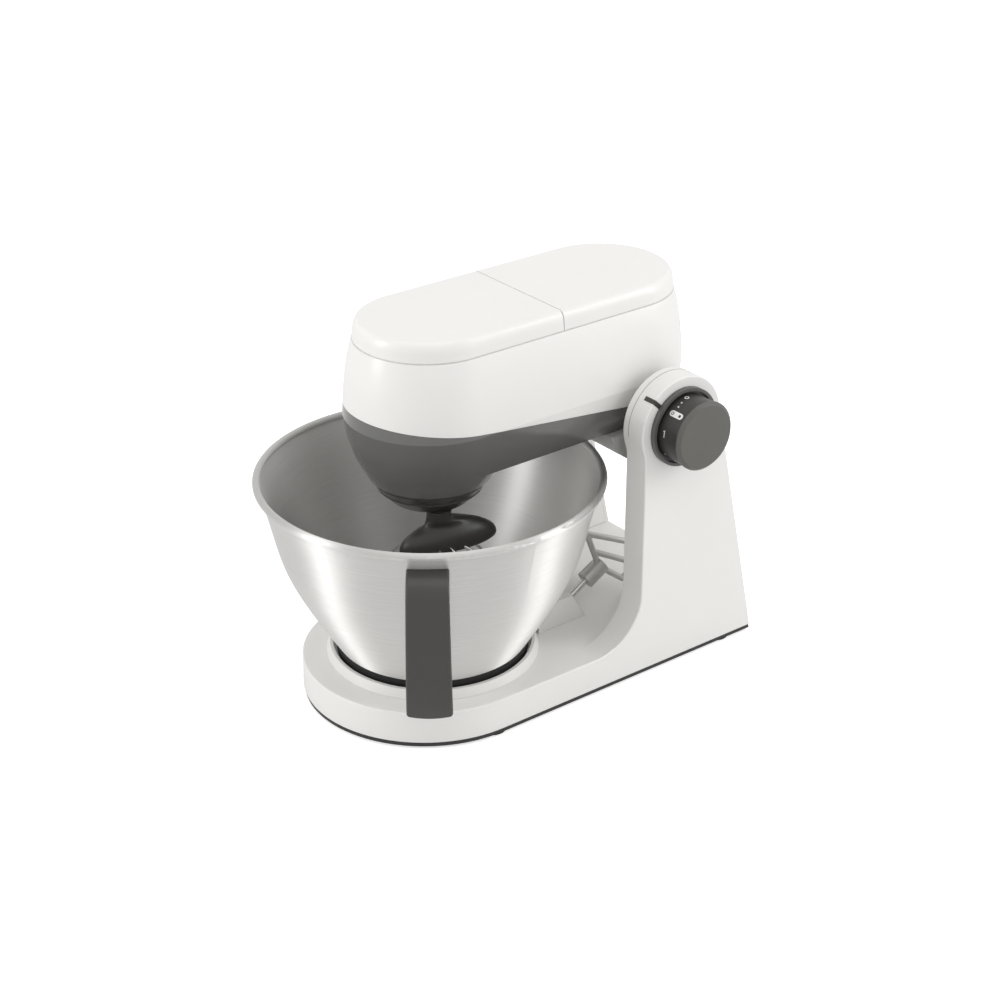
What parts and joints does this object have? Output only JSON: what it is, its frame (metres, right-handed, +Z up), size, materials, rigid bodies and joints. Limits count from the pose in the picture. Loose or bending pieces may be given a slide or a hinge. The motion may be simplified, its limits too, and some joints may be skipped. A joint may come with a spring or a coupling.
{
  "type": "stand mixer",
  "caption": "Tilt-head kitchen stand mixer with planetary whisk, steel bowl with strap handle, two-legged stand, side speed dial and tools stored behind the bowl.",
  "frame": {"origin": "middle of the bounding box on the worktop plane under the feet", "axes": "+Z up, +Y to the rear, +X to the side with the dial"},
  "size_m": [0.244, 0.351, 0.282],
  "materials": {
    "white_shell": "gloss, warm white",
    "seat_grey": "satin, pale grey",
    "dark_gloss": "gloss, dark grey",
    "dark_plastic": "satin, dark grey",
    "dial_grey": "satin, mid grey",
    "black_plastic": "satin black",
    "rubber": "matt black",
    "bowl_steel": "brushed round the bowl",
    "steel": "bright",
    "cast_alloy": "cast, satin",
    "bush_bronze": "sintered",
    "board_green": "lacquered"
  },
  "bodies": {
    "stand": {"stand_shell": "white_shell", "bottom_plate": "dark_plastic", "rubber_feet": "rubber", "bottom_screws": "steel", "bowl_seat": "seat_grey", "right_leg_cover": "white_shell", "left_leg_cover": "white_shell", "leg_cover_screws": "steel", "right_leg_bracket": "steel", "left_leg_bracket": "steel", "hinge_pins": "steel", "dial_bezel": "dark_plastic", "index_mark": "dark_plastic", "speed_encoder": "black_plastic", "power_board": "board_green", "cord_gland": "black_plastic", "tool_rack": "seat_grey", "lock_spring": "steel"},
    "head": {"head_side_shell": "white_shell", "front_top_cover": "white_shell", "rear_top_cover": "white_shell", "head_lower_shell": "dark_gloss", "rear_lower_cover": "white_shell", "hinge_barrel": "white_shell", "head_chassis": "cast_alloy", "hinge_bushes": "bush_bronze", "gear_cover": "cast_alloy", "head_screws": "steel", "main_bearings": "steel", "layshaft_bearings": "steel", "ring_gear": "steel", "motor_can": "steel", "motor_magnets": "steel", "drive_belt": "rubber"},
    "dial": {"speed_dial": "dial_grey", "dial_cap": "dial_grey", "dial_shaft": "steel"},
    "bowl": {"mixing_bowl": "bowl_steel", "bowl_foot_ring": "rubber", "bowl_bayonet": "bowl_steel", "bowl_handle": "dark_plastic", "handle_rivets": "bowl_steel"},
    "planet": {"planetary_hub": "dark_gloss", "main_shaft": "steel", "main_gear": "steel", "spindle_bush": "bush_bronze"},
    "whisk": {"tool_spindle": "steel", "planet_pinion": "steel", "whisk_hub": "dark_plastic", "whisk_wires": "steel"},
    "layshaft": {"layshaft_pinion": "steel", "layshaft_pulley": "black_plastic"},
    "rotor": {"motor_rotor": "steel", "motor_pulley": "steel"},
    "stored_beater": {"beater_frame": "cast_alloy", "beater_shaft": "steel"},
    "stored_hook": {"dough_hook": "steel", "dough_hook_hub": "black_plastic"},
    "lock": {"lock_bolt": "steel"}
  },
  "joints": [
    {"name": "head_tilt", "type": "hinge", "parent": "stand", "child": "head", "pos_m": [0, 0.0975, 0.1915], "axis": [-1, 0, 0], "range_deg": [0, 50]},
    {"name": "speed_dial", "type": "hinge", "parent": "stand", "child": "dial", "pos_m": [0, 0.0975, 0.1915], "axis": [1, 0, 0], "range_deg": [-60, 150]},
    {"name": "bowl_twist", "type": "hinge", "parent": "stand", "child": "bowl", "pos_m": [0, -0.0535, 0], "axis": [0, 0, 1], "range_deg": [0, 40]},
    {"name": "planet_spin", "type": "hinge", "parent": "head", "child": "planet", "pos_m": [0, -0.0535, 0], "axis": [0, 0, 1], "continuous": true},
    {"name": "tool_spin", "type": "hinge", "parent": "planet", "child": "whisk", "pos_m": [0.02054, -0.06138, 0], "axis": [0, 0, 1], "continuous": true},
    {"name": "layshaft_spin", "type": "hinge", "parent": "head", "child": "layshaft", "pos_m": [0, -0.0135, 0], "axis": [0, 0, 1], "continuous": true},
    {"name": "motor_spin", "type": "hinge", "parent": "head", "child": "rotor", "pos_m": [0, 0.0335, 0], "axis": [0, 0, 1], "continuous": true},
    {"name": "beater_pull", "type": "slide", "parent": "stand", "child": "stored_beater", "axis": [0, 0.866, 0.5], "range_m": [0, 0.08]},
    {"name": "hook_pull", "type": "slide", "parent": "stand", "child": "stored_hook", "axis": [0, 0.866, 0.5], "range_m": [0, 0.08]},
    {"name": "head_lock", "type": "slide", "parent": "stand", "child": "lock", "axis": [-1, 0, 0], "range_m": [0, 0.0055], "stiffness_N_per_m": 300}
  ],
  "couplings": [
    {"joint": "tool_spin", "follows": "planet_spin", "ratio": -3.75},
    {"joint": "layshaft_spin", "follows": "planet_spin", "ratio": -3.5714},
    {"joint": "motor_spin", "follows": "planet_spin", "ratio": -16.071}
  ]
}
